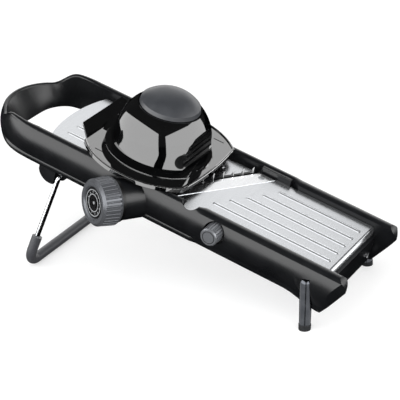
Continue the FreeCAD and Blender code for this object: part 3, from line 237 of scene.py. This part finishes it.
def brushed_stainless(name, shades, roughness):
    """Stainless sheet brushed in one direction: streaks that spread the reflections.
    Real brush lines are finer; they are drawn 0.7 mm wide and about 60 mm long so that they show."""
    streak = Grain(size_mm=0.7, detail=4.0, stretch=(1.0, 0.012, 1.0))
    return grained_material(
        name, shades, streak, {"Metallic": 1.0}, roughness=roughness,
        relief=Relief(streak, depth_mm=0.01, strength=0.02))


def turned_stainless(name, shades):
    """Bright turned stainless: small parts with clear highlights.
    Their tool marks are too fine to see; they are drawn at 0.4 mm."""
    marks = Grain(size_mm=0.4)
    return grained_material(
        name, shades, marks, {"Metallic": 1.0}, roughness=(0.18, 0.28),
        relief=Relief(marks, depth_mm=0.01, strength=0.15))


def bright_chrome(name, shades, roughness):
    """Bright chrome plating: mirror-like, clouded in patches of about 8 mm where hands have dulled it."""
    return grained_material(
        name, shades, Grain(size_mm=8.0, detail=1.0), {"Metallic": 1.0}, roughness=roughness)


# Settings

class SlicerFinishSettings(bpy.types.PropertyGroup):
    """Colours of the slicer's finishes, each as a dark and a light sRGB shade."""

    body: StringProperty(
        name="Body", description="Shades of the moulded rails, loop and crossbars", default="0E0F11 141517")
    guard: StringProperty(
        name="Guard", description="Shades of the glossy guard", default="050506 090A0B")
    cap: StringProperty(
        name="Cap", description="Shades of the plunger's cap", default="2F3135 37393D")
    plates: StringProperty(
        name="Plates", description="Shades of the brushed plates", default="D3D5D8 DADCDF")
    blade: StringProperty(
        name="Blade", description="Shades of the blade and the comb", default="E6E7E9 F0F1F2")
    screws: StringProperty(
        name="Screws", description="Shades of the screws, posts, shafts and prongs", default="A9ABAE C6C8CA")
    wire: StringProperty(
        name="Wire", description="Shades of the stand's wire", default="D0D2D5 E8E9EB")
    legs: StringProperty(
        name="Legs", description="Shades of the plated front legs", default="44464A 4E5054")
    knob: StringProperty(
        name="Knob", description="Shades of the thickness knob", default="606266 6E7074")
    disc: StringProperty(
        name="Disc", description="Shades of the knob's disc", default="0D0D0E 141415")
    gasket: StringProperty(
        name="Gasket", description="Shades of the ring behind the knob", default="030303 060606")
    selector: StringProperty(
        name="Selector", description="Shades of the comb selector", default="7A7C80 888A8E")
    bushes: StringProperty(
        name="Bushes", description="Shades of the bushes, cams and pads", default="8A8B8C 9C9D9E")
    feet: StringProperty(
        name="Feet", description="Shades of the leg tips", default="1E1F21 27282A")
    sleeve: StringProperty(
        name="Sleeve", description="Shades of the stand's sleeve", default="37383C 434448")
    dial_ink: StringProperty(
        name="Dial ink", description="Shades of the dial's print", default="7E8082 929496")
    # The selector's dark ink is painted shade: it stands for the shadow in a groove on its face
    painted_groove_ink: StringProperty(
        name="Groove shade ink", description="Shades of the selector's ring", default="1E1F21 2A2B2D")


class SlicerDialSettings(bpy.types.PropertyGroup):
    """Print on the thickness knob's face, and the selector's dark ring, which is painted shade of a groove.
    """

    ring_width: FloatProperty(
        name="Ring width", description="Width of the two printed rings",
        default=1.0 * MM, min=0.1 * MM, unit="LENGTH")
    outer_ring: FloatProperty(
        name="Outer ring", description="Outer radius of the outer printed ring",
        default=13.5 * MM, unit="LENGTH")
    inner_ring: FloatProperty(
        name="Inner ring", description="Outer radius of the inner printed ring",
        default=9.1 * MM, unit="LENGTH")
    tick_count: IntProperty(name="Ticks", description="Strokes round the dial", default=12, min=2)
    tick_length: FloatProperty(
        name="Tick length", description="Length of a stroke", default=1.7 * MM, unit="LENGTH")
    tick_width: FloatProperty(
        name="Tick width", description="Width of a stroke", default=1.1 * MM, unit="LENGTH")
    pip_radius: FloatProperty(
        name="Pip", description="Radius of the round mark in the middle", default=1.5 * MM, unit="LENGTH")
    pip_height: FloatProperty(
        name="Pip height", description="Height of the round mark above the disc",
        default=0.36 * MM, unit="LENGTH")
    film: FloatProperty(
        name="Film", description="Height of the dial's print above the disc",
        default=0.12 * MM, unit="LENGTH")
    # The selector's dark ring is painted groove shade: a thin film of dark ink, not a cut groove
    selector_ring: FloatProperty(
        name="Selector painted groove", description="Outer radius of the selector's dark ring",
        default=6.5 * MM, unit="LENGTH")
    selector_width: FloatProperty(
        name="Selector painted groove width", description="Width of the selector's dark ring",
        default=0.7 * MM, unit="LENGTH")
    selector_film: FloatProperty(
        name="Selector film", description="Height of the selector's ring above its face",
        default=0.06 * MM, unit="LENGTH")
    sink: FloatProperty(
        name="Sink", description="Depth of all print below the face that carries it",
        default=0.03 * MM, unit="LENGTH")


class SlicerStageSettings(bpy.types.PropertyGroup):
    """Camera, floor and world."""

    lens: FloatProperty(
        name="Lens", description="Camera lens on a 36 mm sensor",
        default=151.4, min=20.0, subtype="DISTANCE_CAMERA")
    floor_size: FloatProperty(
        name="Floor", description="Side of the square floor", default=14.0, min=1.0, unit="LENGTH")
    floor_shades: StringProperty(
        name="Floor shades", description="Dark and light sRGB shade of the paper", default="BABABA BEBEBE")
    floor_lift: FloatProperty(
        name="Floor lift", description="White that the floor adds under the slicer as a plain background",
        default=0.54, min=0.0, max=1.0, subtype="FACTOR")
    fill: FloatProperty(
        name="Fill", description="Faint even light from all round",
        default=0.02, min=0.0, max=1.0, subtype="FACTOR")


# Finishes of the CAD nodes

def nodes_with(*slots):
    """The CAD nodes whose material slot is one of these."""
    parts = frame["record"]["subparts"]
    return [frame["nodes"][part["node"]] for part in parts if part["material_slot"] in slots]


def give_finish(material, slot):
    """Puts a material on every CAD node of the given slot."""
    for node in nodes_with(slot):
        node.data.materials.clear()
        node.data.materials.append(material)


class SLICER_OT_body_finish(bpy.types.Operator):
    """Finishes the moulded rails, loop, crossbars and hinges"""

    bl_idname = "slicer.body_finish"
    bl_label = "Body finish"

    def execute(self, context):
        colours = context.scene.slicer_finish
        give_finish(satin_abs("satin moulded ABS", colours.body), "satin_body")
        return {"FINISHED"}


class SLICER_OT_guard_finish(bpy.types.Operator):
    """Finishes the glossy guard and its satin cap"""

    bl_idname = "slicer.guard_finish"
    bl_label = "Guard finish"

    def execute(self, context):
        colours = context.scene.slicer_finish
        give_finish(piano_abs("lacquered black ABS", colours.guard), "guard_gloss")
        give_finish(soft_touch("satin soft-touch lacquer", colours.cap), "cap_grey")
        return {"FINISHED"}


class SLICER_OT_steel_finish(bpy.types.Operator):
    """Finishes the plates, blade, comb, screws, wire and plated legs"""

    bl_idname = "slicer.steel_finish"
    bl_label = "Steel finish"

    def execute(self, context):
        colours = context.scene.slicer_finish
        plates = brushed_stainless("brushed stainless sheet", colours.plates, roughness=(0.23, 0.26))
        blade = brushed_stainless("ground stainless blade", colours.blade, roughness=(0.2, 0.26))
        wire = bright_chrome("chromed steel wire", colours.wire, roughness=(0.14, 0.2))
        legs = bright_chrome("dark chrome on ABS", colours.legs, roughness=(0.16, 0.24))
        give_finish(plates, "plate_steel")
        give_finish(blade, "blade_steel")
        give_finish(turned_stainless("turned stainless", colours.screws), "screw_steel")
        give_finish(wire, "wire_chrome")
        give_finish(legs, "leg_plastic")
        return {"FINISHED"}


class SLICER_OT_small_finish(bpy.types.Operator):
    """Finishes the knobs, rings, bushes and rubber pieces"""

    bl_idname = "slicer.small_finish"
    bl_label = "Knob and rubber finish"

    def execute(self, context):
        colours = context.scene.slicer_finish
        give_finish(silver_lacquer("silver-grey lacquer", colours.knob), "knob_grey")
        selector = frame["nodes"]["selector_knob"].data.materials
        selector[0] = silver_lacquer("pale silver lacquer", colours.selector)
        give_finish(satin_abs("black moulded ABS", colours.disc), "disc_black")
        give_finish(acetal("natural acetal", colours.bushes), "bush_plastic")
        give_finish(moulded_rubber("black rubber", colours.gasket, bloom=0.0), "black_ring")
        give_finish(moulded_rubber("dark foot rubber", colours.feet, bloom=0.08), "foot_rubber")
        give_finish(moulded_rubber("dark sleeve rubber", colours.sleeve, bloom=0.08), "sleeve_rubber")
        return {"FINISHED"}


# Print on the thickness knob, and painted groove shade on the selector

RING_CORNERS = 96
PIP_CORNERS = 48

# Eased edges of rings and strokes, as shares of their height
RING_EASE = 0.25
STROKE_EASE = 0.2

# The pip's sunk middle: width of its rim as a share of the radius, and depth as a share of the height
PIP_RIM = 0.45
PIP_DEPTH = 0.5

# Points nearer than this are one, and edges flatter than this are shaded smooth
WELD = 0.001 * MM
SMOOTH_ANGLE = math.radians(30.0)


def face_matrix(joint_name, face_node):
    """Place on a knob's own axis, at its outermost face, with Z pointing out and Y off the runway."""
    joint = next(joint for joint in frame["joints"] if joint["name"] == joint_name)
    axis = Vector(joint["axis"]).normalized()
    centre = Vector(joint["pos_m"])
    reach = max((vertex.co - centre).dot(axis) for vertex in frame["nodes"][face_node].data.vertices)
    up = (OFF_RUNWAY - OFF_RUNWAY.dot(axis) * axis).normalized()
    turned = Matrix((up.cross(axis), up, axis)).transposed().to_4x4()
    return Matrix.Translation(centre + reach * axis) @ turned


def finish_piece(name, material, place, body):
    """Closes the active piece, moves it into place in its mesh, and gives it its finish, body and slot."""
    piece = bpy.context.active_object
    bpy.ops.object.mode_set(mode="EDIT")
    bpy.ops.mesh.select_all(action="SELECT")
    bpy.ops.mesh.remove_doubles(threshold=WELD)
    bpy.ops.mesh.normals_make_consistent(inside=False)
    bpy.ops.object.mode_set(mode="OBJECT")
    bpy.ops.object.transform_apply(location=True, rotation=True, scale=True)
    piece.name = name
    piece.data.name = name
    piece.data.transform(place)
    piece.data.materials.append(material)
    bpy.ops.object.shade_smooth_by_angle(angle=SMOOTH_ANGLE)
    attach(piece, body)


def add_flat_ring(inner, outer, low, high):
    """A flat ring about Z: a circle of edges drawn outwards, then raised, with its top edges eased."""
    bpy.ops.object.select_all(action="DESELECT")
    bpy.ops.mesh.primitive_circle_add(vertices=RING_CORNERS, radius=inner, location=(0.0, 0.0, low))
    bpy.ops.object.mode_set(mode="EDIT")
    bpy.ops.mesh.select_all(action="SELECT")
    bpy.ops.mesh.extrude_edges_move()
    bpy.ops.transform.resize(value=(outer / inner, outer / inner, 1.0))
    bpy.ops.mesh.select_all(action="SELECT")
    bpy.ops.mesh.extrude_region_move(TRANSFORM_OT_translate={"value": (0.0, 0.0, high - low)})
    bpy.ops.mesh.bevel(offset=RING_EASE * (high - low), segments=2)
    bpy.ops.object.mode_set(mode="OBJECT")


def add_strokes(count, middle, length, width, low, high):
    """Short strokes round Z: one block with eased edges, copied round the dial and joined."""
    bpy.ops.object.select_all(action="DESELECT")
    bpy.ops.mesh.primitive_cube_add(size=1.0)
    first = bpy.context.active_object
    bpy.ops.object.mode_set(mode="EDIT")
    bpy.ops.mesh.select_all(action="SELECT")
    bpy.ops.transform.resize(value=(width, length, high - low))
    bpy.ops.transform.translate(value=(0.0, middle, 0.5 * (low + high)))
    bpy.ops.mesh.bevel(offset=STROKE_EASE * (high - low), segments=2)
    bpy.ops.object.mode_set(mode="OBJECT")
    for index in range(1, count):
        copied = first.copy()
        copied.data = first.data.copy()
        copied.data.transform(Matrix.Rotation(2.0 * math.pi * index / count, 4, "Z"))
        bpy.context.scene.collection.objects.link(copied)
        copied.select_set(True)
    bpy.ops.object.join()


def add_pip(radius, low, high):
    """A round mark with a sunk middle: a disc raised, inset and pressed in."""
    bpy.ops.object.select_all(action="DESELECT")
    bpy.ops.mesh.primitive_circle_add(
        vertices=PIP_CORNERS, radius=radius, fill_type="NGON", location=(0.0, 0.0, low))
    bpy.ops.object.mode_set(mode="EDIT")
    bpy.ops.mesh.select_all(action="SELECT")
    bpy.ops.mesh.extrude_region_move(TRANSFORM_OT_translate={"value": (0.0, 0.0, high - low)})
    bpy.ops.mesh.inset(thickness=PIP_RIM * radius)
    bpy.ops.transform.translate(value=(0.0, 0.0, -PIP_DEPTH * (high - low)))
    bpy.ops.object.mode_set(mode="OBJECT")


class SLICER_OT_dial_print(bpy.types.Operator):
    """Adds the printed rings, strokes and pip on the thickness knob's disc"""

    bl_idname = "slicer.dial_print"
    bl_label = "Dial print"

    def execute(self, context):
        dial = context.scene.slicer_dial
        ink = printed_ink("pale pad-printed ink", context.scene.slicer_finish.dial_ink)
        place = face_matrix("thickness_turn", "knob_disc")
        for name, outer in (("dial_outer_ring", dial.outer_ring), ("dial_inner_ring", dial.inner_ring)):
            add_flat_ring(outer - dial.ring_width, outer, -dial.sink, dial.film)
            finish_piece(name, ink, place, "thickness_drive")
        ground = -DISC_RING_HEIGHT
        foot = ground - dial.sink
        between = 0.5 * (dial.outer_ring - dial.ring_width + dial.inner_ring)
        add_strokes(dial.tick_count, between, dial.tick_length, dial.tick_width, foot, ground + dial.film)
        finish_piece("dial_strokes", ink, place, "thickness_drive")
        add_pip(dial.pip_radius, foot, ground + dial.pip_height)
        finish_piece("dial_pip", ink, place, "thickness_drive")
        return {"FINISHED"}


class SLICER_OT_selector_painted_groove(bpy.types.Operator):
    """Adds a thin dark ring on the comb selector's face: painted shade where a groove would lie"""

    bl_idname = "slicer.selector_ring"
    bl_label = "Selector painted groove"

    def execute(self, context):
        dial = context.scene.slicer_dial
        # Dark ink ring as painted shade, in place of a groove on the selector's face
        ink = printed_ink("dark ink as painted groove shade", context.scene.slicer_finish.painted_groove_ink)
        place = face_matrix("selector_turn", "selector_knob")
        inner = dial.selector_ring - dial.selector_width
        add_flat_ring(inner, dial.selector_ring, -dial.sink, dial.selector_film)
        finish_piece("selector_ring", ink, place, "selector")
        return {"FINISHED"}


# Stage, in metres

# Camera, worked out from the plates, the rails and the guard's rim
CAMERA_PLACE = Vector((0.7598, -1.3103, 0.7893))
CAMERA_AIM = Vector((0.04543, -0.03901, 0.1))
CAMERA_ROLL = math.radians(-1.623)
SENSOR_MM = 36.0
NEAREST, FARTHEST = 0.05, 60.0

# Upright lamps round the dome: bearing from the near side in degrees, distance, reach to (left, right) and
# to (bottom, top) as shares of that distance, and brightness. The walls light the body, and the panels the
# guard and the legs.
WALLS = {
    "left_wall": (-32.0, 1.0, (-1.1, 1.28), (-0.10, 0.885), 3.3),
    "right_wall": (80.0, 1.0, (-0.93, 1.2), (-0.10, 0.575), 3.2),
    "far_wall": (180.0, 1.6, (-1.4, 1.4), (-0.06, 0.36), 1.6),
    "left_panel": (-32.0, 1.0, (-4.0, 1.28), (-1.9, 0.885), 1.35),
    "right_panel": (80.0, 1.0, (-0.93, 2.9), (-1.7, 0.575), 1.35),
}

# Lamps that face the slicer's middle: place, (width, height) and brightness. The back sky lights all but the
# dome, the top fill lights everything, and the others are there for the plates and the blade to mirror.
SLICER_MIDDLE = Vector((0.0, 0.0, 0.1))
SKIES = {
    "back_sky": ((-0.80, 1.75, 1.42), (2.0, 2.0), 1.05),
    "rib_sky": ((-0.1, -0.6, 2.1), (2.4, 1.8), 1.5),
    "near_sky": ((0.0, -2.0, 1.0), (3.2, 1.6), 0.95),
    "front_sky": ((2.1, -0.1, 0.62), (2.6, 1.2), 0.95),
    "front_high_sky": ((1.1, 0.0, 1.68), (2.0, 0.9), 0.95),
    "rear_high_sky": ((-1.58, 0.0, 1.22), (1.8, 1.0), 0.95),
    "top_fill": ((0.2, -0.6, 2.6), (3.2, 3.2), 1.5),
}

# Lamp that the landing plate's folded lip mirrors
LIP = Vector((0.17, 0.0, 0.05))
LIP_GLOW_PLACE = LIP + 0.6 * Vector((0.187, 0.786, -0.589))
LIP_GLOW_SIZE = (0.6, 0.4)
LIP_GLOW_BRIGHTNESS = 2.0

# Distances from the slicer over which the floor's own white grows to full
FLOOR_NEAR, FLOOR_FAR = 0.5, 1.6

# Numbers of a colour mix node's two colours and of its result, whose names other sockets share
MIX_FIRST, MIX_SECOND, MIX_RESULT = 6, 7, 2


def add_camera(lens):
    """Camera that looks down at the slicer from the near right, with a slight roll."""
    data = bpy.data.cameras.new("camera")
    data.lens = lens
    data.sensor_width = SENSOR_MM
    data.clip_start = NEAREST
    data.clip_end = FARTHEST
    camera = bpy.data.objects.new("camera", data)
    bpy.context.scene.collection.objects.link(camera)
    level = (CAMERA_AIM - CAMERA_PLACE).to_track_quat("-Z", "Y").to_matrix().to_4x4()
    camera.matrix_world = Matrix.Translation(CAMERA_PLACE) @ level @ Matrix.Rotation(CAMERA_ROLL, 4, "Z")
    bpy.context.scene.camera = camera


def add_softbox(name, place, aim, size, brightness):
    """Flat rectangular lamp of even brightness that faces a point."""
    data = bpy.data.lights.new(name, "AREA")
    data.shape = "RECTANGLE"
    data.size, data.size_y = size
    data.energy = brightness * math.pi * size[0] * size[1]
    lamp = bpy.data.objects.new(name, data)
    bpy.context.scene.collection.objects.link(lamp)
    facing = (aim - place).to_track_quat("-Z", "Y")
    lamp.matrix_world = Matrix.Translation(place) @ facing.to_matrix().to_4x4()
    lamp.visible_camera = False
    return lamp


def add_wall(name, bearing, distance, ends, heights, brightness):
    """Upright lamp square to a bearing from the dome."""
    angle = math.radians(bearing)
    outward = Vector((math.sin(angle), -math.cos(angle), 0.0))
    sideways = Vector((math.cos(angle), math.sin(angle), 0.0))
    upward = Vector((0.0, 0.0, 1.0))
    middle = DOME_CENTRE + distance * (outward + 0.5 * sum(ends) * sideways + 0.5 * sum(heights) * upward)
    size = (distance * (ends[1] - ends[0]), distance * (heights[1] - heights[0]))
    return add_softbox(name, middle, middle - outward, size, brightness)


def add_lamps():
    """Adds the walls, the skies and the lip's lamp, and gives them by name."""
    lamps = {name: add_wall(name, *wall) for name, wall in WALLS.items()}
    for name, (place, size, brightness) in SKIES.items():
        lamps[name] = add_softbox(name, Vector(place), SLICER_MIDDLE, size, brightness)
    lamps["top_fill"].visible_glossy = False
    lamps["lip_glow"] = add_softbox("lip_glow", LIP_GLOW_PLACE, LIP, LIP_GLOW_SIZE, LIP_GLOW_BRIGHTNESS)
    return lamps


def link_lights(name, lights, role, state, nodes):
    """Lets lights reach, or be stopped by, only these nodes or all but these."""
    group = bpy.data.collections.new(name)
    for node in nodes:
        group.objects.link(node)
    for member in group.collection_objects:
        member.light_linking.link_state = state
    for light in lights:
        setattr(light.light_linking, role, group)


def share_out_lamps(lamps, floor):
    """Gives body, guard and steel their own lamps, because each mirrors the studio in another way."""
    dome, base, front_plate, blade = [
        frame["nodes"][name] for name in ("guard_dome", "guard_base", "front_plate", "slicing_blade")]
    plates = nodes_with("plate_steel")
    sheets = nodes_with("plate_steel", "blade_steel")
    legs = nodes_with("leg_plastic")
    walls = ("left_wall", "right_wall")
    panels = ("left_panel", "right_panel")
    skies = ("near_sky", "front_sky", "front_high_sky", "rear_high_sky")
    reach, stop = "receiver_collection", "blocker_collection"
    for name, chosen, role, state, nodes in (
        ("all_but_guard_and_plates", walls, reach, "EXCLUDE", [dome, base] + plates),
        ("all_but_dome", ("far_wall", "back_sky"), reach, "EXCLUDE", [dome]),
        ("guard_and_legs", panels, reach, "INCLUDE", [dome, base] + legs),
        ("all_but_floor", panels, stop, "EXCLUDE", [floor]),
        ("plates", ("rib_sky",), reach, "INCLUDE", plates),
        ("sheets", skies, reach, "INCLUDE", sheets),
        ("front_plate", ("lip_glow",), reach, "INCLUDE", [front_plate]),
        ("blade_alone", ("lip_glow",), stop, "INCLUDE", [blade]),
    ):
        link_lights(name, [lamps[lamp] for lamp in chosen], role, state, nodes)
    link_lights("mirrors", [floor], reach, "INCLUDE", sheets + nodes_with("screw_steel"))


def white_paper(name, shades, lift):
    """Matt white paper with a faint fibre of about 3 mm. It keeps the shadow and reads as a plain white
    background, far off the lamps too. Mirrored, it is plain white in the metal and dark in all else."""
    material = grained_material(
        name, shades, Grain(size_mm=3.0),
        {"Roughness": 0.9, "Specular IOR Level": 0.0, "Emission Color": WHITE})
    tree = material.node_tree
    surface = tree.nodes["surface"]
    path = add_node(tree, "ShaderNodeLightPath")
    mirrored = add_node(
        tree, "ShaderNodeMath",
        {0: path.outputs["Is Glossy Ray"], 1: path.outputs["Is Transmission Ray"]}, operation="MAXIMUM")
    paper = surface.inputs["Base Color"].links[0].from_socket
    colour = add_node(
        tree, "ShaderNodeMix",
        {"Factor": mirrored.outputs["Value"], MIX_FIRST: paper, MIX_SECOND: linear("000000")},
        data_type="RGBA")
    tree.links.new(colour.outputs[MIX_RESULT], surface.inputs["Base Color"])
    place = add_node(tree, "ShaderNodeTexCoord")
    reach = add_node(tree, "ShaderNodeVectorMath", {0: place.outputs["Object"]}, operation="LENGTH")
    white = add_node(
        tree, "ShaderNodeMapRange",
        {"Value": reach.outputs["Value"], "From Min": FLOOR_NEAR, "From Max": FLOOR_FAR, "To Min": lift,
         "To Max": 1.0})
    strength = add_node(
        tree, "ShaderNodeMath",
        {0: path.outputs["Is Camera Ray"], 1: white.outputs["Result"], 2: mirrored.outputs["Value"]},
        operation="MULTIPLY_ADD")
    tree.links.new(strength.outputs["Value"], surface.inputs["Emission Strength"])
    material.cycles.emission_sampling = "NONE"
    return material


def add_floor(size, material):
    """Plain square floor under the feet."""
    bpy.ops.object.select_all(action="DESELECT")
    bpy.ops.mesh.primitive_plane_add(size=size, location=(0.0, 0.0, CAD_LOW.z))
    floor = bpy.context.active_object
    floor.name = "floor"
    floor.data.materials.append(material)
    return floor


def add_world(fill):
    """Plain white behind the floor for the camera, and a faint even fill for all else."""
    world = bpy.data.worlds.new("studio")
    bpy.context.scene.world = world
    world.use_nodes = True
    tree = world.node_tree
    path = add_node(tree, "ShaderNodeLightPath")
    strength = add_node(
        tree, "ShaderNodeMath", {0: path.outputs["Is Camera Ray"], 1: fill}, operation="MAXIMUM")
    background = tree.nodes["Background"]
    background.inputs["Color"].default_value = WHITE
    tree.links.new(strength.outputs["Value"], background.inputs["Strength"])


class SLICER_OT_stage(bpy.types.Operator):
    """Adds the floor, the lamps, the world and the camera"""

    bl_idname = "slicer.stage"
    bl_label = "Stage"

    def execute(self, context):
        stage = context.scene.slicer_stage
        paper = white_paper("white paper floor", stage.floor_shades, stage.floor_lift)
        floor = add_floor(stage.floor_size, paper)
        share_out_lamps(add_lamps(), floor)
        add_world(stage.fill)
        add_camera(stage.lens)
        context.scene.view_settings.view_transform = "Standard"
        return {"FINISHED"}


# Add-on

class SLICER_PT_panel(bpy.types.Panel):
    """Lists the steps that dress the slicer"""

    bl_label = "Mandoline slicer"
    bl_idname = "SLICER_PT_panel"
    bl_space_type = "VIEW_3D"
    bl_region_type = "UI"
    bl_category = "Slicer"

    def draw(self, context):
        for step in STEPS:
            self.layout.operator(step.bl_idname)


STEPS = (
    SLICER_OT_body_finish,
    SLICER_OT_guard_finish,
    SLICER_OT_steel_finish,
    SLICER_OT_small_finish,
    SLICER_OT_dial_print,
    SLICER_OT_selector_painted_groove,
    SLICER_OT_stage,
)
CLASSES = (SlicerFinishSettings, SlicerDialSettings, SlicerStageSettings) + STEPS + (SLICER_PT_panel,)


def register():
    """Registers the classes and gives the scene its settings."""
    for made in CLASSES:
        bpy.utils.register_class(made)
    bpy.types.Scene.slicer_finish = PointerProperty(type=SlicerFinishSettings)
    bpy.types.Scene.slicer_dial = PointerProperty(type=SlicerDialSettings)
    bpy.types.Scene.slicer_stage = PointerProperty(type=SlicerStageSettings)


def unregister():
    """Takes the settings and the classes away again."""
    del bpy.types.Scene.slicer_stage
    del bpy.types.Scene.slicer_dial
    del bpy.types.Scene.slicer_finish
    for made in reversed(CLASSES):
        bpy.utils.unregister_class(made)


def main():
    """Dresses the slicer step by step."""
    register()
    bpy.ops.slicer.body_finish()
    bpy.ops.slicer.guard_finish()
    bpy.ops.slicer.steel_finish()
    bpy.ops.slicer.small_finish()
    bpy.ops.slicer.dial_print()
    bpy.ops.slicer.selector_ring()
    bpy.ops.slicer.stage()


if __name__ == "__main__":
    main()
